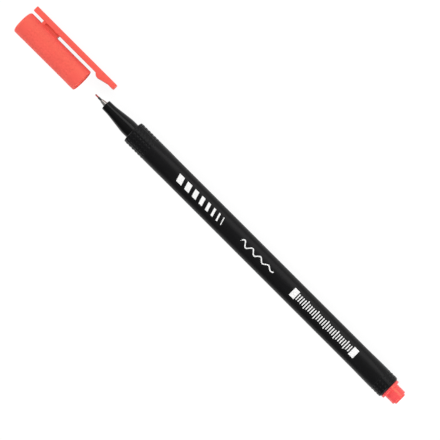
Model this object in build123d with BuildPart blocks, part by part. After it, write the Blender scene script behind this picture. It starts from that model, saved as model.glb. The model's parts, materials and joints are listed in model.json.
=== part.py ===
from build123d import *
from math import asin, atan2, cos, hypot, radians, sin, sqrt
import os

# A fibre-tip pen lying on a table with its cap pulled off, in millimetres.
# X runs along the pen, from the cap to the end plug, and Z is up.
# Stations are measured along the pen from the barrel's front shoulder.

# Ink reservoir, its film and the feed wick
reservoir_radius = 2.85
film_wall = 0.12
wick_radius = 1.1
wick_plunge = 8.0

# Barrel
barrel_length = 130.0
barrel_swell = 0.06
barrel_flare_length = 12.0
barrel_rear_band = 7.0
barrel_front_round = 0.4
barrel_rear_round = 0.8
shoulder_width = 1.45
rib_count = 3
rib_height = 0.15
rib_width = 0.8

# Long faces along the barrel, each a shallow arch that runs out at both ends
face_count = 3
face_wall = 1.0
face_depth = 0.305
face_arch_radius = 6.0
face_front_start = 8.0
face_front_ramp = 11.0
face_rear_start = 3.2
face_rear_ramp = 10.6
face_bend_radius = 80.0
face_run_out = 3.0
printed_turn = 90

# Fibre nib and steel nib sleeve
nib_radius = 0.3
nib_point_length = 1.5
nib_point_round = 0.22
nib_tail_length = 2.0
sleeve_wall = 0.115
sleeve_tube_length = 1.55
sleeve_step = 0.2
sleeve_cone_length = 2.19
sleeve_cone_rise = 0.35
sleeve_collar_length = 3.8
sleeve_edge_round = 0.08

# Nose section
nose_length = 13.9
nose_front_wall = 0.96
nose_waist_wall = 0.92
nose_waist_length = 3.0
nose_bend_radius = 15.0
nose_edge_round = 0.25
nose_seat_length = 2.9
nose_spigot_length = 12.0
nose_spigot_wall = 0.8
nose_core_length = 8.0

# End plug
plug_spigot_length = 9.0
plug_spigot_wall = 1.0
plug_flange_inset = 0.55
plug_flange_length = 1.1
plug_flange_round = 0.2
plug_stem_length = 4.15
plug_stem_round = 0.35
plug_disc_inset = 0.7
plug_disc_length = 0.6
plug_disc_round = 0.2

# Cap and the cup inside it that keeps the nib from drying out
cap_pull = 26.0
cap_proud = 0.115
cap_mouth_proud = 0.045
cap_top_wall = 1.5
cap_top_round = 0.8
cap_mouth_wall = 0.5
cap_mouth_round = 0.35
cap_mouth_recess = 0.35
cap_relief_length = 6.51
liner_overlap = 3.5
liner_floor_wall = 1.0
liner_tip_room = 2.4
liner_seat_width = 0.75

# Clip, moulded in one with the cap
clip_inset = 0.2
clip_length = 40.57
clip_width = 4.0
clip_thickness = 2.19
clip_gap = 1.03
clip_end_round = 0.36
clip_edge_round = 0.25
bridge_start = 5.5
bridge_wall_length = 1.2
bridge_length = 7.8
bridge_web_width = 2.2
bump_start = 8.8
bump_rise_length = 1.31
bump_corner_height = 1.17
bump_end = 2.9
bump_round = 1.5

# Fits
push_fit = 0.02
rib_clearance = 0.05
cap_clearance = 0.05
liner_clearance = 0.11
seat_gap = 0.05
spigot_lead = 0.4
bead_height = 0.1
bead_length = 0.8
bead_from_end = 3.0

# Radii from the reservoir outwards
film_inner_radius = reservoir_radius + push_fit
film_outer_radius = film_inner_radius + film_wall
rib_tip_radius = film_outer_radius + rib_clearance
chamber_radius = rib_tip_radius + rib_height
face_crown = chamber_radius + face_wall
barrel_radius = face_crown + face_depth
barrel_rear_radius = barrel_radius + barrel_swell
seat_radius = barrel_radius - shoulder_width
nose_socket_radius = seat_radius + push_fit
nose_spigot_radius = seat_radius - push_fit
nose_core_radius = nose_spigot_radius - nose_spigot_wall
plug_spigot_radius = chamber_radius - push_fit
plug_core_radius = plug_spigot_radius - plug_spigot_wall
plug_flange_radius = barrel_rear_radius - plug_flange_inset
plug_disc_radius = seat_radius - plug_disc_inset

# Radii from the nib outwards
nib_bore_radius = nib_radius + push_fit
sleeve_tube_radius = nib_bore_radius + sleeve_wall
sleeve_cone_radius = sleeve_tube_radius + sleeve_step
sleeve_collar_radius = sleeve_cone_radius + sleeve_cone_rise
sleeve_socket_radius = sleeve_collar_radius + push_fit
wick_bore_radius = wick_radius + push_fit
nose_front_radius = sleeve_socket_radius + nose_front_wall
nose_waist_radius = wick_bore_radius + nose_waist_wall

# Radii of the cap and its clip
cap_radius = barrel_radius + cap_proud
cap_mouth_radius = barrel_radius + cap_mouth_proud
cap_bore_radius = seat_radius + cap_clearance
cap_recess_radius = cap_mouth_radius - cap_mouth_wall
clip_inner_reach = cap_radius + clip_gap
clip_outer_reach = clip_inner_reach + clip_thickness

# Stations along the pen
plug_end = barrel_length + plug_flange_length + plug_stem_length + plug_disc_length
plug_spigot_end = barrel_length - plug_spigot_length
reservoir_front = nose_spigot_length + seat_gap
reservoir_rear = plug_spigot_end - seat_gap
wick_rear = nose_spigot_length + wick_plunge
sleeve_rear = -nose_length + sleeve_collar_length
sleeve_cone_front = -nose_length - sleeve_cone_length
sleeve_front = sleeve_cone_front - sleeve_tube_length
nib_tip = sleeve_front - nib_point_length
nose_waist = -nose_length + nose_waist_length
nose_bead = nose_spigot_length - bead_from_end
plug_bead = plug_spigot_end + bead_from_end

# The inner cap reaches past the nib's tip, and its lip goes round the nose when the cap is closed
nose_slope = (seat_radius - nose_waist_radius) / (-nose_seat_length - nose_waist)
nose_at_lip = nose_waist_radius + nose_slope * max(liner_overlap - nose_waist_length, 0)
liner_bore_radius = nose_at_lip + liner_clearance
liner_outer_radius = cap_bore_radius - push_fit
cap_mouth = -cap_pull
liner_lip = cap_mouth - nose_length + liner_overlap
liner_floor = cap_mouth + nib_tip - liner_tip_room
liner_end = liner_floor - liner_floor_wall
liner_seat = liner_end - seat_gap
cap_top = liner_seat - cap_relief_length - cap_top_wall

# The pen lies on the cap's side and on the clip's lower edge, which sets how far it is rolled
corner_reach = clip_outer_reach - clip_edge_round
corner_half_width = clip_width / 2 - clip_edge_round
roll = asin((cap_radius - clip_edge_round) / hypot(corner_reach, corner_half_width)) - atan2(
    corner_half_width, corner_reach
)
clip_side = corner_reach * cos(roll) + corner_half_width * sin(roll) + clip_edge_round

# The origin is under the middle of the whole object, on the table
shoulder = Vector(-(cap_top + plug_end) / 2, (cap_radius - clip_side) / 2, cap_radius)
along = Vector(1, 0, 0)
clip_way = Vector(0, cos(roll), -sin(roll))
print_way = Vector(0, sin(roll), cos(roll))
pen_axis = Axis(shoulder, along)
side_plane = Plane(shoulder, x_dir=along, z_dir=print_way)


def around(turn):
    # Direction square to the pen, turned from the clip's side towards the printed face
    return clip_way * cos(radians(turn)) + print_way * sin(radians(turn))


def cross_plane(station):
    # Plane across the pen, with the clip's side along its own x
    return Plane(shoulder + along * station, x_dir=clip_way, z_dir=along)


def bead(middle, radius):
    # Three corners of a snap bead or of its groove
    return [
        (middle - bead_length / 2, radius),
        (middle, radius + bead_height),
        (middle + bead_length / 2, radius),
    ]


# Barrel: a turned tube, three long faces cut in, and ribs that hold the reservoir
with BuildPart() as barrel:
    with BuildSketch(side_plane):
        with BuildLine():
            FilletPolyline(
                (0, nose_socket_radius),
                (0, barrel_radius),
                (barrel_length - barrel_rear_band - barrel_flare_length, barrel_radius),
                (barrel_length - barrel_rear_band, barrel_rear_radius),
                (barrel_length, barrel_rear_radius),
                (barrel_length, chamber_radius),
                *reversed(bead(plug_bead, chamber_radius)),
                (nose_spigot_length, chamber_radius),
                (nose_spigot_length, nose_socket_radius),
                *reversed(bead(nose_bead, nose_socket_radius)),
                radius=[0, barrel_front_round, 0, 0, barrel_rear_round] + [0] * 9,
                close=True,
            )
        make_face()
    revolve(axis=pen_axis)

    front_slope = face_depth / face_front_ramp
    rear_rise = barrel_rear_radius - face_crown
    rear_slope = rear_rise / face_rear_ramp
    face_rear = barrel_length - face_rear_start
    cut_half_width = barrel_rear_radius
    cut_height = rear_rise + face_depth
    arch_drop = face_arch_radius - sqrt(face_arch_radius**2 - cut_half_width**2)
    for face in range(face_count):
        turn = printed_turn + face * 360 / face_count
        with BuildLine(Plane(shoulder, x_dir=along, z_dir=around(turn + 90))) as face_run:
            FilletPolyline(
                (face_front_start - face_run_out, barrel_radius + face_run_out * front_slope),
                (face_front_start + face_front_ramp, face_crown),
                (face_rear - face_rear_ramp, face_crown),
                (face_rear + face_run_out, barrel_rear_radius + face_run_out * rear_slope),
                radius=face_bend_radius,
            )
        arch = Plane(face_run.line @ 0, x_dir=around(turn - 90), z_dir=face_run.line % 0)
        with BuildSketch(arch):
            with BuildLine():
                ThreePointArc((-cut_half_width, -arch_drop), (0, 0), (cut_half_width, -arch_drop))
                Polyline(
                    (cut_half_width, -arch_drop),
                    (cut_half_width, cut_height),
                    (-cut_half_width, cut_height),
                    (-cut_half_width, -arch_drop),
                )
            make_face()
        sweep(mode=Mode.SUBTRACT)

    rib_root = chamber_radius + rib_height
    first_corner = printed_turn - 180 / face_count
    with BuildSketch(cross_plane(reservoir_front)):
        with PolarLocations((rib_tip_radius + rib_root) / 2, rib_count, start_angle=first_corner):
            Rectangle(rib_root - rib_tip_radius, rib_width)
    extrude(amount=reservoir_rear - reservoir_front)
barrel.part.label = "barrel"

# Nose section: the glossy front that carries the nib and that the cap pushes onto
with BuildPart() as nose_section:
    with BuildSketch(side_plane):
        with BuildLine():
            FilletPolyline(
                (-nose_length, sleeve_socket_radius),
                (-nose_length, nose_front_radius),
                (nose_waist, nose_waist_radius),
                (-nose_seat_length, seat_radius),
                *bead(nose_bead, nose_spigot_radius),
                (nose_spigot_length - spigot_lead, nose_spigot_radius),
                (nose_spigot_length, nose_spigot_radius - spigot_lead),
                (nose_spigot_length, nose_core_radius),
                (nose_spigot_length - nose_core_length, nose_core_radius),
                (nose_spigot_length - nose_core_length, wick_bore_radius),
                (sleeve_rear, wick_bore_radius),
                (sleeve_rear, sleeve_socket_radius),
                radius=[0, nose_edge_round, nose_bend_radius, nose_bend_radius] + [0] * 10,
                close=True,
            )
        make_face()
    revolve(axis=pen_axis)
nose_section.part.label = "nose_section"

# Nib sleeve: a turned steel cone and tube with a collar pressed into the nose
with BuildPart() as nib_sleeve:
    with BuildSketch(side_plane):
        with BuildLine():
            FilletPolyline(
                (sleeve_front, nib_bore_radius),
                (sleeve_front, sleeve_tube_radius),
                (sleeve_cone_front, sleeve_tube_radius),
                (sleeve_cone_front, sleeve_cone_radius),
                (-nose_length, sleeve_collar_radius),
                (sleeve_rear, sleeve_collar_radius),
                (sleeve_rear, nib_bore_radius),
                radius=[0, sleeve_edge_round, sleeve_edge_round, sleeve_edge_round, 0, 0, 0],
                close=True,
            )
        make_face()
    revolve(axis=pen_axis)
nib_sleeve.part.label = "nib_sleeve"

# Nib: the fibre point that writes
with BuildPart() as nib:
    with BuildSketch(side_plane):
        with BuildLine():
            FilletPolyline(
                (nib_tip, 0),
                (nib_tip, nib_radius),
                (sleeve_rear + nib_tail_length, nib_radius),
                (sleeve_rear + nib_tail_length, 0),
                radius=[0, nib_point_round, 0, 0],
                close=True,
            )
        make_face()
    revolve(axis=pen_axis)
nib.part.label = "nib"

# Feed wick: carries ink from the reservoir to the nib's tail
with BuildPart() as feed_wick:
    with BuildSketch(side_plane):
        with BuildLine():
            Polyline(
                (sleeve_rear + seat_gap, nib_bore_radius),
                (sleeve_rear + seat_gap, wick_radius),
                (wick_rear, wick_radius),
                (wick_rear, 0),
                (sleeve_rear + nib_tail_length + seat_gap, 0),
                (sleeve_rear + nib_tail_length + seat_gap, nib_bore_radius),
                close=True,
            )
        make_face()
    revolve(axis=pen_axis)
feed_wick.part.label = "feed_wick"

# Ink reservoir: a fibre rod with the wick pushed into its front end
with BuildPart() as ink_reservoir:
    with BuildSketch(side_plane):
        with BuildLine():
            Polyline(
                (reservoir_front, wick_bore_radius),
                (reservoir_front, reservoir_radius),
                (reservoir_rear, reservoir_radius),
                (reservoir_rear, 0),
                (wick_rear + seat_gap, 0),
                (wick_rear + seat_gap, wick_bore_radius),
                close=True,
            )
        make_face()
    revolve(axis=pen_axis)
ink_reservoir.part.label = "ink_reservoir"

# Reservoir film: the plastic wrap around the fibre rod
with BuildPart() as reservoir_film:
    with BuildSketch(cross_plane(reservoir_front)):
        Circle(film_outer_radius)
        Circle(film_inner_radius, mode=Mode.SUBTRACT)
    extrude(amount=reservoir_rear - reservoir_front)
reservoir_film.part.label = "reservoir_film"

# End plug: closes the barrel, and its stem holds the cap while the pen is in use
with BuildPart() as end_plug:
    flange_end = barrel_length + plug_flange_length
    stem_end = flange_end + plug_stem_length
    with BuildSketch(side_plane):
        with BuildLine():
            FilletPolyline(
                (plug_spigot_end, plug_core_radius),
                (plug_spigot_end, plug_spigot_radius - spigot_lead),
                (plug_spigot_end + spigot_lead, plug_spigot_radius),
                *bead(plug_bead, plug_spigot_radius),
                (barrel_length, plug_spigot_radius),
                (barrel_length, plug_flange_radius),
                (flange_end, plug_flange_radius),
                (flange_end, seat_radius),
                (stem_end, seat_radius),
                (stem_end, plug_disc_radius),
                (plug_end, plug_disc_radius),
                (plug_end, 0),
                (barrel_length, 0),
                (barrel_length, plug_core_radius),
                radius=[0] * 7
                + [plug_flange_round, plug_flange_round, 0, min(plug_stem_round, plug_disc_inset), 0]
                + [plug_disc_round, 0, 0, 0],
                close=True,
            )
        make_face()
    revolve(axis=pen_axis)
end_plug.part.label = "end_plug"

# Cap: shell, bridge and clip in one moulding
with BuildPart() as cap:
    clip_start = cap_top + clip_inset
    clip_tip = clip_start + clip_length
    with BuildSketch(side_plane):
        with BuildLine():
            FilletPolyline(
                (clip_start, clip_inner_reach),
                (clip_start, clip_outer_reach),
                (clip_tip, clip_outer_reach),
                (clip_tip, clip_inner_reach),
                (clip_tip - bump_end, clip_inner_reach),
                (clip_tip - bump_start + bump_rise_length, clip_inner_reach - bump_corner_height),
                (clip_tip - bump_start, clip_inner_reach),
                radius=[clip_end_round] * 4 + [0, bump_round, 0],
                close=True,
            )
        make_face()
    extrude(amount=clip_width / 2, both=True)
    clip_sides = cap.faces().filter_by(Axis(shoulder, print_way))
    fillet(clip_sides.edges(), clip_edge_round)

    # Bridge: a cross wall with a thinner web behind it
    bridge_base = (cap_bore_radius + cap_radius) / 2
    bridge_top = clip_inner_reach + clip_thickness / 2
    bridge_middle = (bridge_base + bridge_top) / 2
    with BuildSketch(side_plane):
        with Locations((cap_top + bridge_start + bridge_wall_length / 2, bridge_middle)):
            Rectangle(bridge_wall_length, bridge_top - bridge_base)
    extrude(amount=clip_width / 2 - clip_edge_round, both=True)
    with BuildSketch(side_plane):
        with Locations((cap_top + bridge_start + bridge_length / 2, bridge_middle)):
            Rectangle(bridge_length, bridge_top - bridge_base)
    extrude(amount=bridge_web_width / 2, both=True)

    # Shell: closed at the top, bored for the nose, funnelled at the mouth and stepped for the inner cap
    relief_radius = cap_bore_radius - liner_seat_width
    funnel_start = cap_mouth - cap_mouth_recess
    funnel_end = funnel_start - (cap_recess_radius - cap_bore_radius)
    with BuildSketch(side_plane):
        with BuildLine():
            FilletPolyline(
                (cap_mouth, cap_recess_radius),
                (cap_mouth, cap_mouth_radius),
                (cap_top, cap_radius),
                (cap_top, 0),
                (cap_top + cap_top_wall, 0),
                (cap_top + cap_top_wall, relief_radius),
                (liner_seat, relief_radius),
                (liner_seat, cap_bore_radius),
                (funnel_end, cap_bore_radius),
                (funnel_start, cap_recess_radius),
                radius=[0, cap_mouth_round, cap_top_round] + [0] * 7,
                close=True,
            )
        make_face()
    revolve(axis=pen_axis)
cap.part.label = "cap"

# Inner cap: a cup seated at the bottom of the cap's bore
with BuildPart() as inner_cap:
    with BuildSketch(side_plane):
        with BuildLine():
            Polyline(
                (liner_lip, liner_bore_radius),
                (liner_lip, liner_outer_radius),
                (liner_end, liner_outer_radius),
                (liner_end, 0),
                (liner_floor, 0),
                (liner_floor, liner_bore_radius),
                close=True,
            )
        make_face()
    revolve(axis=pen_axis)
inner_cap.part.label = "inner_cap"

pieces = [
    barrel,
    nose_section,
    nib_sleeve,
    nib,
    feed_wick,
    ink_reservoir,
    reservoir_film,
    end_plug,
    cap,
    inner_cap,
]
os.makedirs("parts", exist_ok=True)
for piece in pieces:
    export_step(piece.part, f"parts/{piece.part.label}.step")
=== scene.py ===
import json
from math import atan2, ceil, cos, hypot, pi, radians, sin, sqrt, tan

import bmesh
import bpy
from mathutils import Matrix, Vector


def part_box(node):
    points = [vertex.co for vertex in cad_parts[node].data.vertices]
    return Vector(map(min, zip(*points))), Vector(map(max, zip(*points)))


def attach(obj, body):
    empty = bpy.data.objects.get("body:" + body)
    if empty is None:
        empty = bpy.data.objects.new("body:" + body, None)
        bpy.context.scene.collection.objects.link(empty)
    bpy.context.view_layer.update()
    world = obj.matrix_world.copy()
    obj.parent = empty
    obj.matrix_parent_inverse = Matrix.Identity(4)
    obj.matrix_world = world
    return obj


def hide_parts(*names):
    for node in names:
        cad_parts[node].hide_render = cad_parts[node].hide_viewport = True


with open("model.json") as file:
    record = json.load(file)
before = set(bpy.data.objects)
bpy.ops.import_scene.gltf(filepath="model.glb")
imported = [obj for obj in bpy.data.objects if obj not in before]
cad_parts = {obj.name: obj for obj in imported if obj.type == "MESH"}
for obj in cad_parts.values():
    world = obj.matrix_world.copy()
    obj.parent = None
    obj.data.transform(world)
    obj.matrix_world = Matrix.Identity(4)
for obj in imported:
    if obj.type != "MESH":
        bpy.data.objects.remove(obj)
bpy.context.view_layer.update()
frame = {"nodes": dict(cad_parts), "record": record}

# Pen space is in millimetres: x along the pen from the barrel's front shoulder,
# y towards the clip and z towards the printed face. Each piece is modelled there
mm = 0.001
mountAt = {mount["name"]: Vector(mount["pos_m"]) for mount in frame["record"]["mounts"]}
penAxis = mountAt["rear_stub"]
towardClip = mountAt["clip_gap"] - penAxis
towardClip.x = 0
towardClip.normalize()
alongPen = Vector((1, 0, 0))
towardPrint = alongPen.cross(towardClip)
penRoll = atan2(-towardClip.z, towardClip.y)
shoulder = Vector((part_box("barrel")[0].x, penAxis.y, penAxis.z))
penToRow = (Matrix((alongPen, towardClip, towardPrint)).transposed() * mm).to_4x4()
penToRow.translation = shoulder


def reach(node):  # where a node starts and ends along the pen
    low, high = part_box(node)
    return (low.x - shoulder.x) / mm, (high.x - shoulder.x) / mm


def nodeRadius(node):  # radius of a round node
    low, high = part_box(node)
    return (high.z - low.z) / mm / 2


# Shared by the pieces that touch one another
fits = {
    "seat": 3.045,  # radius where the cap grips the nose, and of the plug's stem
    "push": 0.02,  # room of a push fit
    "capRoom": 0.05,
    "linerRoom": 0.05,
    "beadHeight": 0.1,
    "beadLength": 0.8,
    "noseBead": 9.0,  # where the snap beads sit along the pen
    "plugBead": 124.0,
    "chamber": 3.19,  # radius of the barrel's hollow
}


def bead(middle, radius):  # snap bead on a spigot, or the groove it sits in
    half = fits["beadLength"] / 2
    tip = radius + fits["beadHeight"]
    return [(middle - half, radius, 0), (middle, tip, 0), (middle + half, radius, 0)]


# Mesh helpers
cornerSteps = 6
weldDistance = 0.0005
sharpFrom = 32  # degrees between faces
skinDepth = 0.1  # the outside of a shell lies within this of its radius
bandRamp = 0.35  # length over which a band of bumps or dimples starts and ends


def roundOff(bm, geom, affect, offset, segments):
    bmesh.ops.bevel(
        bm,
        geom=geom,
        affect=affect,
        offset_type="OFFSET",
        offset=offset,
        segments=segments,
        profile=0.5,
        material=-1,
    )


def roundCorner(bm, vert, radius, segments):
    ways = [edge.other_vert(vert).co - vert.co for edge in vert.link_edges]
    bend = pi - ways[0].angle(ways[1])
    roundOff(bm, [vert], "VERTICES", radius * tan(bend / 2), segments)


def wireOutline(corners, closed, segments=cornerSteps):  # corners: (x, distance from the axis, rounding)
    bm = bmesh.new()
    verts = [bm.verts.new((x, 0, out)) for x, out, _ in corners]
    for first, second in zip(verts, verts[1:]):
        bm.edges.new((first, second))
    if closed:
        bm.edges.new((verts[-1], verts[0]))
    for vert, (_, _, rounding) in zip(verts, corners):
        if rounding:
            roundCorner(bm, vert, rounding, segments)
    return bm


def addRows(bm, start, end, step, above):  # more rings on the outside between two stations
    for edge in list(bm.edges):
        xs = sorted(vert.co.x for vert in edge.verts)
        outside = min(vert.co.z for vert in edge.verts) > above
        cuts = ceil((xs[1] - xs[0]) / step) - 1
        if outside and cuts > 0 and xs[0] > start - step / 2 and xs[1] < end + step / 2:
            bmesh.ops.subdivide_edges(bm, edges=[edge], cuts=cuts)


def turnOutline(bm, steps):
    bmesh.ops.spin(
        bm,
        geom=bm.verts[:] + bm.edges[:],
        cent=(0, 0, 0),
        axis=(1, 0, 0),
        angle=2 * pi,
        steps=steps,
        use_merge=True,
    )
    bmesh.ops.remove_doubles(bm, verts=bm.verts, dist=weldDistance)
    bmesh.ops.recalc_face_normals(bm, faces=bm.faces)


def newObject(name, data):
    made = bpy.data.objects.new(name, data)
    bpy.context.scene.collection.objects.link(made)
    return made


def shadeSoftly(mesh):  # smooth, apart from its sharp edges
    mesh.shade_smooth()
    mesh.set_sharp_from_angle(angle=radians(sharpFrom))


def meshObject(name, bm, material):
    bmesh.ops.transform(bm, matrix=penToRow, verts=bm.verts)
    mesh = bpy.data.meshes.new(name)
    bm.to_mesh(mesh)
    bm.free()
    shadeSoftly(mesh)
    mesh.materials.append(material)
    return newObject(name, mesh)


def handIn(piece, body, node=None):
    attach(piece, body)
    if node:
        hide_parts(node)
    print("piece:", piece.name, "faces", len(piece.data.polygons))


def smoothMin(first, second, softness):  # the smaller value, with a soft change from one to the other
    overlap = max(softness - abs(first - second), 0) / softness
    return min(first, second) - overlap * overlap * softness / 4


def bumpAt(x, turn, bumps):  # height of a grid of round bumps at a point, below zero for dimples
    column = round((x - bumps["first"]) / bumps["pitch"])
    column = min(max(column, 0), bumps["columns"] - 1)
    aside = x - bumps["first"] - column * bumps["pitch"]
    rowTurn = 2 * pi / bumps["rows"]
    around = (turn - radians(bumps["rowAt"]) + rowTurn / 2) % rowTurn - rowTurn / 2
    share = 1 - (aside**2 + (around * bumps["onRadius"]) ** 2) / bumps["radius"] ** 2
    return bumps["height"] * max(share, 0)


def sunkAt(x, bumps):  # depth of the shallow band that holds the bumps or dimples
    half = (bumps["columns"] - 1) * bumps["pitch"] / 2
    past = abs(x - bumps["first"] - half) - half - bumps["radius"]
    share = min(max(1 - past / bandRamp, 0), 1)
    return bumps["sunk"] * share * share * (3 - 2 * share)


# Material helpers
noiseSpan = (0.3, 0.7)  # most values of the noise lie between these
# A mix node has several sockets of one name, so those for colours are picked by number
mixSockets = {"factor": 0, "first": 6, "second": 7, "result": 2}


def newMaterial(name):
    material = bpy.data.materials.new(name)
    material.use_nodes = True
    tree = material.node_tree
    return material, tree, tree.nodes["Principled BSDF"]


def addNode(tree, kind, values=None, **settings):
    made = tree.nodes.new(kind)
    for name, value in settings.items():
        setattr(made, name, value)
    for name, value in (values or {}).items():
        made.inputs[name].default_value = value
    return made


def penCoordinates(tree, stretch=(1, 1, 1)):  # object coordinates turned into pen space
    place = addNode(tree, "ShaderNodeTexCoord")
    turned = Matrix.Rotation(penRoll, 3, "X") @ shoulder / mm
    toPen = addNode(
        tree,
        "ShaderNodeMapping",
        {"Scale": (1 / mm,) * 3, "Rotation": (penRoll, 0, 0), "Location": -turned},
    )
    tree.links.new(place.outputs["Object"], toPen.inputs["Vector"])
    stretched = addNode(tree, "ShaderNodeMapping", {"Scale": stretch})
    tree.links.new(toPen.outputs["Vector"], stretched.inputs["Vector"])
    return stretched.outputs["Vector"]


def noiseRange(tree, where, scale, low, high, detail=3.0):  # noise mapped onto a range of values
    noise = addNode(tree, "ShaderNodeTexNoise", {"Scale": scale, "Detail": detail})
    tree.links.new(where, noise.inputs["Vector"])
    spread = addNode(
        tree,
        "ShaderNodeMapRange",
        {"From Min": noiseSpan[0], "From Max": noiseSpan[1], "To Min": low, "To Max": high},
    )
    tree.links.new(noise.outputs["Fac"], spread.inputs["Value"])
    return spread.outputs["Result"]


def noiseColour(tree, where, scale, dark, light, detail=4.0):  # noise mapped onto a range of colours
    noise = addNode(tree, "ShaderNodeTexNoise", {"Scale": scale, "Detail": detail})
    tree.links.new(where, noise.inputs["Vector"])
    ramp = addNode(tree, "ShaderNodeValToRGB")
    for stop, position, colour in zip(ramp.color_ramp.elements, noiseSpan, (dark, light)):
        stop.position = position
        stop.color = (*colour, 1)
    tree.links.new(noise.outputs["Fac"], ramp.inputs["Fac"])
    return ramp.outputs["Color"]


def addBump(tree, shader, height, depth, strength):  # depth in millimetres
    bump = addNode(tree, "ShaderNodeBump", {"Strength": strength, "Distance": depth * mm})
    tree.links.new(height, bump.inputs["Height"])
    tree.links.new(bump.outputs["Normal"], shader.inputs["Normal"])


# Finishes
sheenFineness = 2  # a moulding's roughness varies this much more finely than its colour


def mouldedPlastic(look):
    material, tree, shader = newMaterial(look["name"])
    shader.inputs["Specular IOR Level"].default_value = look["specular"]
    shader.inputs["Specular Tint"].default_value = (*look["tint"], 1)
    place = penCoordinates(tree)
    flow = penCoordinates(tree, (look["flow"], 1, 1))  # the melt's flow draws marks out along the pen
    colour = noiseColour(tree, flow, look["mottle"], look["dark"], look["light"])
    tree.links.new(colour, shader.inputs["Base Color"])
    rough = noiseRange(tree, flow, look["mottle"] * sheenFineness, look["smooth"], look["rough"])
    tree.links.new(rough, shader.inputs["Roughness"])
    grain = noiseRange(tree, place, look["grain"], 0, 1, detail=2.0)
    addBump(tree, shader, grain, look["grainDepth"], look["grainStrength"])
    return material


def turnedSteel(look, tubeEnd):  # the drawn tube is given a darker steel than the turned cone: painted shade for the dark reflection along the tube
    material, tree, shader = newMaterial(look["name"])
    shader.inputs["Metallic"].default_value = 1.0
    rings = penCoordinates(tree, (look["rings"], look["ringDrift"], look["ringDrift"]))
    cone = noiseColour(tree, rings, 1.0, look["dark"], look["light"])
    tube = noiseColour(tree, rings, 1.0, look["shadedTubeDark"], look["shadedTubeLight"])
    split = addNode(tree, "ShaderNodeSeparateXYZ")
    tree.links.new(penCoordinates(tree), split.inputs["Vector"])
    onCone = addNode(
        tree,
        "ShaderNodeMapRange",
        {"From Min": tubeEnd - look["blend"], "From Max": tubeEnd},
    )
    tree.links.new(split.outputs["X"], onCone.inputs["Value"])
    colour = addNode(tree, "ShaderNodeMix", data_type="RGBA")
    tree.links.new(onCone.outputs["Result"], colour.inputs[mixSockets["factor"]])
    tree.links.new(tube, colour.inputs[mixSockets["first"]])
    tree.links.new(cone, colour.inputs[mixSockets["second"]])
    tree.links.new(colour.outputs[mixSockets["result"]], shader.inputs["Base Color"])
    rough = noiseRange(tree, rings, 1.0, look["smooth"], look["rough"])
    tree.links.new(rough, shader.inputs["Roughness"])
    addBump(tree, shader, noiseRange(tree, rings, 1.0, 0, 1), look["ringDepth"], look["ringStrength"])
    return material


def plainFinish(look):  # fibre, film and ink: a mottled colour and a fine relief, drawn out along the pen
    material, tree, shader = newMaterial(look["name"])
    shader.inputs["Roughness"].default_value = look["roughness"]
    shader.inputs["Alpha"].default_value = look["opacity"]
    place = penCoordinates(tree, (look["draw"], 1, 1))
    colour = noiseColour(tree, place, look["mottle"], look["dark"], look["light"])
    tree.links.new(colour, shader.inputs["Base Color"])
    relief = noiseRange(tree, place, look["grain"], 0, 1)
    addBump(tree, shader, relief, look["depth"], look["strength"])
    return material


barrelLook = {
    "name": "satinBlackMoulding",
    "dark": (0.0028, 0.0028, 0.0032),
    "light": (0.0046, 0.0046, 0.0051),
    "specular": 0.14,
    "tint": (1, 1, 1),
    "mottle": 0.5,
    "flow": 0.15,
    "smooth": 0.30,
    "rough": 0.38,
    "grain": 9.0,
    "grainDepth": 0.01,
    "grainStrength": 0.25,
}
noseLook = {
    "name": "polishedBlackMoulding",
    "dark": (0.0012, 0.0012, 0.0014),
    "light": (0.0022, 0.0022, 0.0024),
    "specular": 0.185,
    "tint": (1, 1, 1),
    "mottle": 0.6,
    "flow": 0.2,
    "smooth": 0.10,
    "rough": 0.15,
    "grain": 6.0,
    "grainDepth": 0.004,
    "grainStrength": 0.15,
}
coralLook = {
    "name": "coralMoulding",
    "dark": (0.79, 0.092, 0.078),
    "light": (0.83, 0.100, 0.086),
    "specular": 0.42,
    "tint": (1, 0.9, 0.35),
    "mottle": 0.35,
    "flow": 0.2,
    "smooth": 0.48,
    "rough": 0.56,
    "grain": 10.0,
    "grainDepth": 0.008,
    "grainStrength": 0.2,
}
plugLook = {
    **coralLook,
    "name": "polishedCoralMoulding",
    "dark": (0.83, 0.078, 0.090),
    "light": (0.87, 0.086, 0.098),
    "specular": 0.5,
    "smooth": 0.10,
    "rough": 0.15,
    "grainStrength": 0.05,
}
linerLook = {
    "name": "naturalWhiteMoulding",
    "dark": (0.66, 0.62, 0.58),
    "light": (0.74, 0.71, 0.67),
    "specular": 0.4,
    "tint": (1, 1, 1),
    "mottle": 0.4,
    "flow": 0.3,
    "smooth": 0.42,
    "rough": 0.5,
    "grain": 8.0,
    "grainDepth": 0.008,
    "grainStrength": 0.2,
}
steelLook = {
    "name": "turnedSteel",
    "dark": (0.29, 0.28, 0.265),
    "light": (0.42, 0.405, 0.385),
    # painted shade: the tube's steel is made much darker than the cone's, standing in for the dark
    # reflection along it
    "shadedTubeDark": (0.05, 0.048, 0.046),
    "shadedTubeLight": (0.09, 0.086, 0.082),
    "smooth": 0.16,
    "rough": 0.26,
    "rings": 7.0,  # turning marks to the millimetre
    "ringDrift": 0.25,  # how fast they change across the sleeve
    "ringDepth": 0.006,
    "ringStrength": 0.3,
    "blend": 0.1,  # length of the change from tube to cone
}
nibLook = {
    "name": "inkSoakedNib",
    "dark": (0.32, 0.035, 0.036),
    "light": (0.48, 0.065, 0.062),
    "mottle": 16.0,
    "grain": 16.0,
    "draw": 0.12,
    "depth": 0.03,
    "strength": 0.6,
    "roughness": 0.75,
    "opacity": 1.0,
}
inkFibreLook = {
    "name": "inkSoakedFibre",
    "dark": (0.42, 0.03, 0.03),
    "light": (0.66, 0.09, 0.07),
    "mottle": 6.0,
    "grain": 6.0,
    "draw": 0.05,
    "depth": 0.05,
    "strength": 0.6,
    "roughness": 0.85,
    "opacity": 1.0,
}
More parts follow.
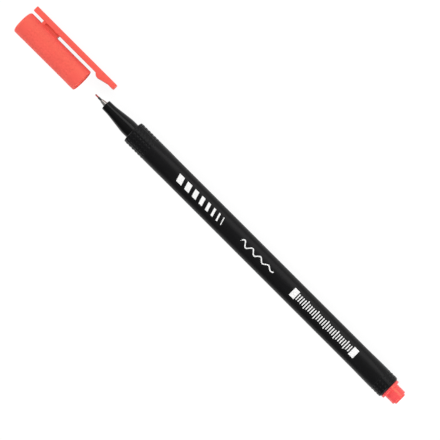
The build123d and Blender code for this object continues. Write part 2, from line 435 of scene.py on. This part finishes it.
filmLook = {
    "name": "clearFilm",
    "dark": (0.70, 0.71, 0.72),
    "light": (0.82, 0.83, 0.84),
    "mottle": 0.8,
    "grain": 0.8,
    "draw": 1,
    "depth": 0.05,
    "strength": 0.4,
    "roughness": 0.18,
    "opacity": 0.45,
}
inkLook = {
    "name": "whitePrintInk",
    "dark": (0.70, 0.70, 0.70),
    "light": (0.86, 0.86, 0.85),
    "mottle": 7.0,
    "grain": 14.0,
    "draw": 1,
    "depth": 0.006,
    "strength": 0.3,
    "roughness": 0.5,
    "opacity": 1.0,
}
satinBlack = mouldedPlastic(barrelLook)
polishedBlack = mouldedPlastic(noseLook)
coral = mouldedPlastic(coralLook)
polishedCoral = mouldedPlastic(plugLook)
naturalWhite = mouldedPlastic(linerLook)
nibRed = plainFinish(nibLook)
fibreRed = plainFinish(inkFibreLook)
film = plainFinish(filmLook)
whiteInk = plainFinish(inkLook)
print("materials:", len(bpy.data.materials))

# Barrel: a turned tube with three long arched faces and bumps to grip at both ends
barrel = {
    "radius": 4.495,
    "rearRadius": 4.555,
    "flare": 12.0,
    "rearBand": 7.0,
    "frontRound": 0.4,
    "rearRound": 0.8,
    "noseDepth": 12.0,
    "turnSteps": 252,
    "bumpRow": 0.12,
    "rampRow": 0.5,
    "rampRoom": 5.0,  # the ramp's rows go on this far past it
    "longRow": 6.0,
}
faces = {
    "turns": (90, 210, 330),  # the first carries the print
    "crown": 4.19,
    "arch": 6.0,
    "frontStart": 8.0,
    "frontRamp": 11.0,
    "rearStart": 3.2,
    "rearRamp": 10.6,
    "bend": 80.0,
    "edgeSoftness": 0.05,
}
frontBumps = {
    "first": 1.37,
    "columns": 6,
    "pitch": 1.44,
    "rows": 21,
    "rowAt": 94.3,
    "radius": 0.6,
    "height": 0.14,
    "sunk": 0.06,
    "onRadius": barrel["radius"],
}
rearBumps = {
    "first": 125.79,
    "columns": 3,
    "pitch": 1.39,
    "rows": 21,
    "rowAt": 98.5,
    "radius": 0.4,
    "height": 0.13,
    "sunk": 0.08,
    "onRadius": barrel["rearRadius"],
}
ribs = {
    "turns": (30, 150, 270),
    "width": 0.8,
    "tip": 3.04,
    "root": 0.15,  # how far a rib goes into the wall
    "start": 12.05,
    "end": 120.95,
}


def faceCrown(x, length):  # height of a face's ridge above the axis, with its soft bends
    frontSlope = (barrel["radius"] - faces["crown"]) / faces["frontRamp"]
    rearSlope = (barrel["rearRadius"] - faces["crown"]) / faces["rearRamp"]
    front = barrel["radius"] - frontSlope * (x - faces["frontStart"])
    rear = barrel["rearRadius"] - rearSlope * (length - faces["rearStart"] - x)
    crown = -smoothMin(-front, -faces["crown"], faces["bend"] * frontSlope**2 / 2)
    return -smoothMin(-rear, -crown, faces["bend"] * rearSlope**2 / 2)


def faceRadius(crown, aside):  # distance from the axis to the arched face, at an angle from its middle
    centre = crown - faces["arch"]
    return centre * cos(aside) + sqrt(faces["arch"] ** 2 - (centre * sin(aside)) ** 2)


def shapeBarrel(bm, length, wall):  # presses the faces in and raises the bumps
    for vert in bm.verts:
        x = vert.co.x
        out = hypot(vert.co.y, vert.co.z)
        turn = atan2(vert.co.z, vert.co.y)
        crown = faceCrown(x, length)
        pushed = out
        for faceTurn in faces["turns"]:
            aside = (turn - radians(faceTurn) + pi) % (2 * pi) - pi
            if abs(aside) < pi / len(faces["turns"]):
                pushed = smoothMin(pushed, faceRadius(crown, aside), faces["edgeSoftness"])
        if out > wall:
            pushed += bumpAt(x, turn, frontBumps) - sunkAt(x, frontBumps)
            pushed += bumpAt(x, turn, rearBumps) - sunkAt(x, rearBumps)
        vert.co.yz = vert.co.yz * (pushed / out)


def addRibs(bm):  # they hold the reservoir
    ribLength = ribs["end"] - ribs["start"]
    ribHigh = fits["chamber"] + ribs["root"] - ribs["tip"]
    for turn in ribs["turns"]:
        middle = Vector(((ribs["start"] + ribs["end"]) / 2, ribs["tip"] + ribHigh / 2, 0))
        place = Matrix.Rotation(radians(turn), 4, "X") @ Matrix.Translation(middle)
        size = Matrix.Diagonal((ribLength, ribHigh, ribs["width"], 1))
        bmesh.ops.create_cube(bm, size=1, matrix=place @ size)


def makeBarrel():
    length = reach("barrel")[1]
    socket = fits["seat"] + fits["push"]
    flareStart = length - barrel["rearBand"] - barrel["flare"]
    rampEnd = faces["frontStart"] + faces["frontRamp"] + barrel["rampRoom"]
    bumpsEnd = frontBumps["first"] + frontBumps["columns"] * frontBumps["pitch"]
    rearBumpsStart = rearBumps["first"] - rearBumps["pitch"]
    outline = [
        (0, socket, 0),
        (0, barrel["radius"], barrel["frontRound"]),
        (bumpsEnd, barrel["radius"], 0),
        (rampEnd, barrel["radius"], 0),
        (flareStart, barrel["radius"], 0),
        (length - barrel["rearBand"], barrel["rearRadius"], 0),
        (rearBumpsStart, barrel["rearRadius"], 0),
        (length, barrel["rearRadius"], barrel["rearRound"]),
        (length, fits["chamber"], 0),
        *reversed(bead(fits["plugBead"], fits["chamber"])),
        (barrel["noseDepth"], fits["chamber"], 0),
        (barrel["noseDepth"], socket, 0),
        *reversed(bead(fits["noseBead"], socket)),
    ]
    bm = wireOutline(outline, closed=True)
    wall = barrel["radius"] - skinDepth
    addRows(bm, 0, bumpsEnd, barrel["bumpRow"], wall)
    addRows(bm, bumpsEnd, rampEnd, barrel["rampRow"], wall)
    addRows(bm, rampEnd, flareStart, barrel["longRow"], wall)
    addRows(bm, flareStart, rearBumpsStart, barrel["rampRow"], wall)
    addRows(bm, rearBumpsStart, length, barrel["bumpRow"], wall)
    turnOutline(bm, barrel["turnSteps"])
    shapeBarrel(bm, length, wall)
    addRibs(bm)
    piece = meshObject("barrelMoulding", bm, satinBlack)
    handIn(piece, "pen", "barrel")


makeBarrel()

# Nose section: the polished front that carries the nib and that the cap pushes onto
nose = {
    "frontRadius": 1.965,
    "waistRadius": 2.04,
    "waistLength": 3.0,
    "bend": 15.0,
    "edge": 0.25,
    "seatLength": 2.9,
    "coreRadius": 2.225,
    "coreLength": 8.0,
    "lead": 0.4,
    "wickBore": 1.12,
    "turnSteps": 128,
}


def makeNose():
    front, rear = reach("nose_section")
    collarEnd = reach("nib_sleeve")[1]
    collarHole = nodeRadius("nib_sleeve") + fits["push"]
    spigot = fits["seat"] - fits["push"]
    outline = [
        (front, collarHole, 0),
        (front, nose["frontRadius"], nose["edge"]),
        (front + nose["waistLength"], nose["waistRadius"], nose["bend"]),
        (-nose["seatLength"], fits["seat"], nose["bend"]),
        *bead(fits["noseBead"], spigot),
        (rear - nose["lead"], spigot, 0),
        (rear, spigot - nose["lead"], 0),
        (rear, nose["coreRadius"], 0),
        (rear - nose["coreLength"], nose["coreRadius"], 0),
        (rear - nose["coreLength"], nose["wickBore"], 0),
        (collarEnd, nose["wickBore"], 0),
        (collarEnd, collarHole, 0),
    ]
    bm = wireOutline(outline, closed=True)
    turnOutline(bm, nose["turnSteps"])
    piece = meshObject("noseMoulding", bm, polishedBlack)
    handIn(piece, "pen", "nose_section")


makeNose()

# Nib sleeve and nib: a turned steel cone and tube round a fibre point
sleeve = {
    "tube": 0.435,
    "tubeLength": 1.55,
    "step": 0.2,
    "coneLength": 2.19,
    "edge": 0.08,
    "turnSteps": 72,
}
nib = {"radius": 0.3, "pointRound": 0.22, "turnSteps": 40}


def makeSleeve():
    front, rear = reach("nib_sleeve")
    collar = nodeRadius("nib_sleeve")
    bore = nib["radius"] + fits["push"]
    coneFront = front + sleeve["tubeLength"]
    outline = [
        (front, bore, 0),
        (front, sleeve["tube"], sleeve["edge"]),
        (coneFront, sleeve["tube"], sleeve["edge"]),
        (coneFront, sleeve["tube"] + sleeve["step"], sleeve["edge"]),
        (coneFront + sleeve["coneLength"], collar, 0),
        (rear, collar, 0),
        (rear, bore, 0),
    ]
    bm = wireOutline(outline, closed=True)
    turnOutline(bm, sleeve["turnSteps"])
    piece = meshObject("steelSleeve", bm, turnedSteel(steelLook, coneFront))
    handIn(piece, "pen", "nib_sleeve")


def makeNib():
    tip, tail = reach("nib")
    outline = [
        (tip, 0, 0),
        (tip, nib["radius"], nib["pointRound"]),
        (tail, nib["radius"], 0),
        (tail, 0, 0),
    ]
    bm = wireOutline(outline, closed=False)
    turnOutline(bm, nib["turnSteps"])
    piece = meshObject("fibreNib", bm, nibRed)
    handIn(piece, "pen", "nib")


makeSleeve()
makeNib()

# End plug: closes the barrel, and its stem takes the cap while the pen writes
plug = {
    "spigotLength": 9.0,
    "coreRadius": 2.17,
    "lead": 0.4,
    "flangeLength": 1.1,
    "flangeRound": 0.2,
    "stemLength": 4.15,
    "stemRound": 0.35,
    "discRadius": 2.345,
    "discRound": 0.2,
    "turnSteps": 128,
}


def makePlug():
    start, end = reach("end_plug")
    seatAt = start + plug["spigotLength"]
    flangeEnd = seatAt + plug["flangeLength"]
    stemEnd = flangeEnd + plug["stemLength"]
    flange = nodeRadius("end_plug")
    spigot = fits["chamber"] - fits["push"]
    outline = [
        (seatAt, 0, 0),
        (seatAt, plug["coreRadius"], 0),
        (start, plug["coreRadius"], 0),
        (start, spigot - plug["lead"], 0),
        (start + plug["lead"], spigot, 0),
        *bead(fits["plugBead"], spigot),
        (seatAt, spigot, 0),
        (seatAt, flange, plug["flangeRound"]),
        (flangeEnd, flange, plug["flangeRound"]),
        (flangeEnd, fits["seat"], 0),
        (stemEnd, fits["seat"], plug["stemRound"]),
        (stemEnd, plug["discRadius"], 0),
        (end, plug["discRadius"], plug["discRound"]),
        (end, 0, 0),
    ]
    bm = wireOutline(outline, closed=False)
    turnOutline(bm, plug["turnSteps"])
    piece = meshObject("plugMoulding", bm, polishedCoral)
    handIn(piece, "pen", "end_plug")


makePlug()

# Cap: a dimpled shell, its bridge and its clip in one moulding
cap = {
    "length": 30.6,
    "radius": 4.61,
    "mouthRadius": 4.54,
    "topRound": 0.8,
    "mouthWall": 0.5,
    "mouthRound": 0.35,
    "mouthRecess": 0.35,
    "topWall": 1.5,
    "reliefRadius": 2.345,
    "smoothTop": 4.2,  # bands without dimples at both ends
    "smoothMouth": 3.7,
    "turnSteps": 220,
    "dimpleRow": 0.16,
}
capDimples = {  # sunk, because the cap's outline is smooth
    "first": 5.05,
    "columns": 15,
    "pitch": 1.47,
    "rows": 22,
    "rowAt": 90,
    "radius": 0.45,
    "height": -0.15,
    "sunk": 0.03,
    "onRadius": cap["radius"],
}
clip = {
    "inset": 0.2,
    "inner": 5.64,
    "outer": 7.83,
    "width": 4.0,
    "endRound": 0.36,
    "edgeRound": 0.25,
    "bumpStart": 8.8,
    "bumpRise": 1.31,
    "bumpCorner": 1.17,
    "bumpEnd": 2.9,
    "bumpRound": 1.5,
    "roundSteps": 8,
    "edgeSteps": 4,
}
bridge = {"start": 5.5, "wall": 1.2, "length": 7.8, "web": 2.2, "base": 3.85}


def capShell():
    top = reach("cap")[0]
    mouth = top + cap["length"]
    seat = reach("inner_cap")[0] - fits["linerRoom"]
    bore = fits["seat"] + fits["capRoom"]
    recess = cap["mouthRadius"] - cap["mouthWall"]
    funnel = mouth - cap["mouthRecess"]
    bandStart = top + cap["smoothTop"]
    bandEnd = mouth - cap["smoothMouth"]
    taper = (cap["radius"] - cap["mouthRadius"]) / cap["length"]
    outline = [
        (top, 0, 0),
        (top, cap["radius"], cap["topRound"]),
        (bandStart, cap["radius"] - taper * cap["smoothTop"], 0),
        (bandEnd, cap["mouthRadius"] + taper * cap["smoothMouth"], 0),
        (mouth, cap["mouthRadius"], cap["mouthRound"]),
        (mouth, recess, 0),
        (funnel, recess, 0),
        (funnel - (recess - bore), bore, 0),
        (seat, bore, 0),
        (seat, cap["reliefRadius"], 0),
        (top + cap["topWall"], cap["reliefRadius"], 0),
        (top + cap["topWall"], 0, 0),
    ]
    bm = wireOutline(outline, closed=False)
    wall = cap["mouthRadius"] - skinDepth
    addRows(bm, bandStart, bandEnd, cap["dimpleRow"], wall)
    turnOutline(bm, cap["turnSteps"])
    for vert in bm.verts:
        x = vert.co.x
        out = hypot(vert.co.y, vert.co.z)
        if out > wall and bandStart < x < bandEnd:
            turn = atan2(vert.co.z, vert.co.y)
            pushed = out - sunkAt(x - top, capDimples) + bumpAt(x - top, turn, capDimples)
            vert.co.yz = vert.co.yz * (pushed / out)
    return bm


def capClip():
    top, tip = reach("cap")
    start = top + clip["inset"]
    bumpFoot = tip - clip["bumpStart"]
    outline = [
        (start, clip["inner"], clip["endRound"]),
        (start, clip["outer"], clip["endRound"]),
        (tip, clip["outer"], clip["endRound"]),
        (tip, clip["inner"], clip["endRound"]),
        (tip - clip["bumpEnd"], clip["inner"], 0),
        (bumpFoot + clip["bumpRise"], clip["inner"] - clip["bumpCorner"], clip["bumpRound"]),
        (bumpFoot, clip["inner"], 0),
    ]
    bm = wireOutline(outline, closed=True, segments=clip["roundSteps"])
    bmesh.ops.rotate(bm, verts=bm.verts, cent=(0, 0, 0), matrix=Matrix.Rotation(-pi / 2, 3, "X"))
    bmesh.ops.translate(bm, verts=bm.verts, vec=(0, 0, -clip["width"] / 2))
    side = bmesh.ops.contextual_create(bm, geom=bm.edges[:])["faces"]
    far = bmesh.ops.extrude_face_region(bm, geom=side, use_keep_orig=True)["geom"]
    farVerts = [item for item in far if isinstance(item, bmesh.types.BMVert)]
    bmesh.ops.translate(bm, verts=farVerts, vec=(0, 0, clip["width"]))
    bmesh.ops.recalc_face_normals(bm, faces=bm.faces)
    rims = [edge for edge in bm.edges if len({round(vert.co.z, 3) for vert in edge.verts}) == 1]
    roundOff(bm, rims, "EDGES", clip["edgeRound"], clip["edgeSteps"])
    return bm


def bridgeBlock(length, width):
    top = reach("cap")[0] + bridge["start"]
    high = (clip["inner"] + clip["outer"]) / 2
    size = Matrix.Diagonal((length, high - bridge["base"], width, 1))
    middle = Matrix.Translation((top + length / 2, (high + bridge["base"]) / 2, 0))
    bm = bmesh.new()
    bmesh.ops.create_cube(bm, size=1, matrix=middle @ size)
    return bm


def makeCap():
    piece = meshObject("capMoulding", capShell(), coral)
    wallWidth = clip["width"] - 2 * clip["edgeRound"]
    parts = [
        meshObject("clipBlank", capClip(), coral),
        meshObject("wallBlank", bridgeBlock(bridge["wall"], wallWidth), coral),
        meshObject("webBlank", bridgeBlock(bridge["length"], bridge["web"]), coral),
    ]
    for part in parts:
        union = piece.modifiers.new("join", "BOOLEAN")
        union.operation = "UNION"
        union.solver = "EXACT"
        union.object = part
    joined = bpy.data.meshes.new_from_object(piece.evaluated_get(bpy.context.evaluated_depsgraph_get()))
    piece.modifiers.clear()
    piece.data = joined
    for part in parts:
        bpy.data.objects.remove(part)
    shadeSoftly(joined)
    handIn(piece, "cap", "cap")


makeCap()

# Inner cap: the cup that closes round the nose
liner = {"bore": 2.213, "floor": 1.0, "lipRound": 0.15, "turnSteps": 96}


def makeLiner():
    end, lip = reach("inner_cap")
    outer = nodeRadius("inner_cap")
    outline = [
        (end, 0, 0),
        (end, outer, 0),
        (lip, outer, liner["lipRound"]),
        (lip, liner["bore"], liner["lipRound"]),
        (end + liner["floor"], liner["bore"], 0),
        (end + liner["floor"], 0, 0),
    ]
    bm = wireOutline(outline, closed=False)
    turnOutline(bm, liner["turnSteps"])
    piece = meshObject("linerCup", bm, naturalWhite)
    handIn(piece, "cap", "inner_cap")


makeLiner()

# Wick, reservoir and film keep their solids, which are out of sight
for node, finish in (("feed_wick", fibreRed), ("ink_reservoir", fibreRed), ("reservoir_film", film)):
    for materialSlot in frame["nodes"][node].material_slots:
        materialSlot.material = finish

# Print: plain white marks on the first face
inkLift = 0.012
inkDepth = 0.03
strokes = {
    "start": 23.4,
    "count": 8,
    "broad": 2.5,
    "fine": 0.35,
    "gap": 1.6,
    "height": 2.9,
    "slant": 0.3,
}
wave = {
    "start": 55.4,
    "end": 71.8,
    "swing": 1.0,
    "fade": 0.6,  # share of the swing that is lost along the line
    "waves": 4,
    "line": 0.42,
    "steps": 160,
}
scale = {
    "start": 81.2,
    "end": 113.3,
    "block": 2.3,
    "tick": 0.42,
    "step": 1.0,
    "height": 3.5,
    "shortTick": 2.5,
    "longEvery": 5,
}


def onFace(bm):  # lays flat marks on the arched face and gives them their thickness
    for vert in bm.verts:
        vert.co.z = faces["crown"] + sqrt(faces["arch"] ** 2 - vert.co.y**2) - faces["arch"] + inkLift
    bmesh.ops.recalc_face_normals(bm, faces=bm.faces)
    bmesh.ops.solidify(bm, geom=bm.faces[:], thickness=inkDepth)
    bmesh.ops.recalc_face_normals(bm, faces=bm.faces)


def addMark(bm, start, width, height, slant=0.0, rows=10):  # a unit grid stretched and slanted
    made = bmesh.ops.create_grid(bm, x_segments=1, y_segments=rows, size=0.5)
    for vert in made["verts"]:
        vert.co.y *= height
        vert.co.x = start + width * (vert.co.x + 0.5) - slant * vert.co.y


def makeStrokes():
    bm = bmesh.new()
    x = strokes["start"]
    for index in range(strokes["count"]):
        share = index / (strokes["count"] - 1)
        width = strokes["broad"] + (strokes["fine"] - strokes["broad"]) * share
        addMark(bm, x, width, strokes["height"], strokes["slant"])
        x += width + strokes["gap"]
    onFace(bm)
    handIn(meshObject("strokePrint", bm, whiteInk), "pen")


def makeWave():
    bm = bmesh.new()
    made = bmesh.ops.create_grid(bm, x_segments=wave["steps"], y_segments=1, size=0.5)
    length = wave["end"] - wave["start"]
    for vert in made["verts"]:
        share = vert.co.x + 0.5
        phase = 2 * pi * wave["waves"] * share
        swing = wave["swing"] * (1 - wave["fade"] * share)
        slope = swing * 2 * pi * wave["waves"] / length * cos(phase)
        vert.co.x = wave["start"] + length * share
        vert.co.y = swing * sin(phase) + wave["line"] * vert.co.y * sqrt(1 + slope * slope)
    onFace(bm)
    handIn(meshObject("wavePrint", bm, whiteInk), "pen")


def makeScale():
    bm = bmesh.new()
    addMark(bm, scale["start"], scale["block"], scale["height"])
    addMark(bm, scale["end"] - scale["block"], scale["block"], scale["height"])
    ticks = int((scale["end"] - scale["start"] - 2 * scale["block"]) / scale["step"])
    for index in range(ticks):
        start = scale["start"] + scale["block"] + scale["step"] * (index + 0.5)
        isLong = (index + 1) % scale["longEvery"] == 0
        addMark(bm, start, scale["tick"], scale["height"] if isLong else scale["shortTick"])
    onFace(bm)
    handIn(meshObject("scalePrint", bm, whiteInk), "pen")


makeStrokes()
makeWave()
makeScale()

# Stage: a pale floor, a studio world and soft lamps
floor = {
    "half": 4.0,  # metres
    "bounce": 0.8,  # white that lights the pen from below
    "shade": 0.1,  # what is seen of it: a faint shadow in an even glow
    "lift": 0.93,
}
studio = {
    "horizon": 1.0,
    "bandLow": 0.1,  # the horizon's white fades out between these heights
    "bandHigh": 0.2,
    "near": 0.5,  # overhead, on the clip's side and away from it
    "far": 0.25,
    "nearFrom": 0.3,
    "farFrom": -0.7,
}
# A lamp turns from the printed face towards the clip, and tilts towards the nib, in degrees
lamps = {
    "key": {"turn": 38, "tilt": -8, "away": 0.7, "size": (1.3, 0.42), "radiance": 2.15},
    "nibFill": {"turn": -52, "tilt": 60, "away": 0.9, "size": (0.5, 0.5), "radiance": 6.0},
    "plugFill": {"turn": -52, "tilt": -55, "away": 0.9, "size": (0.5, 0.5), "radiance": 6.1},
}


def makeFloor():
    material, tree, shader = newMaterial("paleFloor")
    tree.nodes.remove(shader)
    output = tree.nodes["Material Output"]
    bounce = addNode(tree, "ShaderNodeBsdfDiffuse", {"Color": (floor["bounce"],) * 3 + (1,)})
    shade = addNode(tree, "ShaderNodeBsdfDiffuse", {"Color": (floor["shade"],) * 3 + (1,)})
    glow = addNode(tree, "ShaderNodeEmission", {"Color": (1, 1, 1, 1), "Strength": floor["lift"]})
    lit = addNode(tree, "ShaderNodeAddShader")
    tree.links.new(shade.outputs["BSDF"], lit.inputs[0])
    tree.links.new(glow.outputs["Emission"], lit.inputs[1])
    path = addNode(tree, "ShaderNodeLightPath")
    seen = addNode(tree, "ShaderNodeMath", operation="MAXIMUM")
    tree.links.new(path.outputs["Is Camera Ray"], seen.inputs[0])
    tree.links.new(path.outputs["Is Glossy Ray"], seen.inputs[1])
    through = addNode(tree, "ShaderNodeMath", operation="MAXIMUM")
    tree.links.new(seen.outputs["Value"], through.inputs[0])
    tree.links.new(path.outputs["Is Transmission Ray"], through.inputs[1])
    mix = addNode(tree, "ShaderNodeMixShader")
    tree.links.new(through.outputs["Value"], mix.inputs["Fac"])
    tree.links.new(bounce.outputs["BSDF"], mix.inputs[1])
    tree.links.new(lit.outputs["Shader"], mix.inputs[2])
    tree.links.new(mix.outputs["Shader"], output.inputs["Surface"])
    bm = bmesh.new()
    bmesh.ops.create_grid(bm, x_segments=4, y_segments=4, size=floor["half"])
    mesh = bpy.data.meshes.new("floor")
    bm.to_mesh(mesh)
    bm.free()
    mesh.materials.append(material)
    made = newObject("floor", mesh)


def makeWorld():  # white at the horizon, dim overhead and dimmer on the side away from the clip
    world = bpy.data.worlds.new("studioWorld")
    world.use_nodes = True
    bpy.context.scene.world = world
    tree = world.node_tree
    place = addNode(tree, "ShaderNodeTexCoord")
    split = addNode(tree, "ShaderNodeSeparateXYZ")
    tree.links.new(place.outputs["Generated"], split.inputs["Vector"])
    overhead = addNode(
        tree,
        "ShaderNodeMapRange",
        {
            "From Min": studio["farFrom"],
            "From Max": studio["nearFrom"],
            "To Min": studio["far"],
            "To Max": studio["near"],
        },
    )
    tree.links.new(split.outputs["Y"], overhead.inputs["Value"])
    low = addNode(
        tree,
        "ShaderNodeMapRange",
        {
            "From Min": studio["bandLow"],
            "From Max": studio["bandHigh"],
            "To Min": studio["horizon"],
            "To Max": 0,
        },
    )
    tree.links.new(split.outputs["Z"], low.inputs["Value"])
    level = addNode(tree, "ShaderNodeMath", operation="MAXIMUM")
    tree.links.new(overhead.outputs["Result"], level.inputs[0])
    tree.links.new(low.outputs["Result"], level.inputs[1])
    tree.links.new(level.outputs["Value"], tree.nodes["Background"].inputs["Strength"])
    tree.nodes["Background"].inputs["Color"].default_value = (1, 1, 1, 1)


def facing(place, right, up, back):  # matrix of a lamp or camera that looks away from back
    return Matrix.Translation(place) @ Matrix((right, up, back)).transposed().to_4x4()


def makeLamps():
    middle = Vector((0, penAxis.y, penAxis.z))
    for name, lamp in lamps.items():
        turn = radians(lamp["turn"])
        tilt = radians(lamp["tilt"])
        square = towardPrint * cos(turn) + towardClip * sin(turn)
        way = square * cos(tilt) - alongPen * sin(tilt)
        side = (alongPen - way * alongPen.dot(way)).normalized()
        light = bpy.data.lights.new(name, "AREA")
        light.shape = "RECTANGLE"
        light.size, light.size_y = lamp["size"]
        light.energy = lamp["radiance"] * pi * light.size * light.size_y
        made = newObject(name, light)
        made.matrix_world = facing(middle + way * lamp["away"], side, way.cross(side), way)


makeFloor()
makeWorld()
makeLamps()
print("stage: floor, world and", len(lamps), "lamps")

# Camera: a metre off, square to the pen near its rear end and aimed at the picture's middle
cameraSetup = {
    "away": 1040.0,
    "squareAt": 105.0,
    "aimAt": 44.70,
    "aimAside": -0.27,
    "across": 158.05,  # width of the picture at the pen
    "sensor": 36,
    "nearest": 0.01,  # metres
    "furthest": 100,
}


def makeCamera():
    aim = penToRow @ Vector((cameraSetup["aimAt"], cameraSetup["aimAside"], 0))
    place = penToRow @ Vector((cameraSetup["squareAt"], cameraSetup["aimAside"], cameraSetup["away"]))
    back = (place - aim).normalized()
    penWay = (alongPen - back * alongPen.dot(back)).normalized()
    clipWay = back.cross(penWay)
    right = (penWay + clipWay).normalized()
    up = (clipWay - penWay).normalized()
    data = bpy.data.cameras.new("photoCamera")
    data.sensor_width = cameraSetup["sensor"]
    data.lens = data.sensor_width * (place - aim).length / (cameraSetup["across"] * mm)
    data.clip_start = cameraSetup["nearest"]
    data.clip_end = cameraSetup["furthest"]
    made = newObject("photoCamera", data)
    made.matrix_world = facing(place, right, up, back)
    bpy.context.scene.camera = made


makeCamera()
bpy.context.scene.view_settings.view_transform = "Standard"
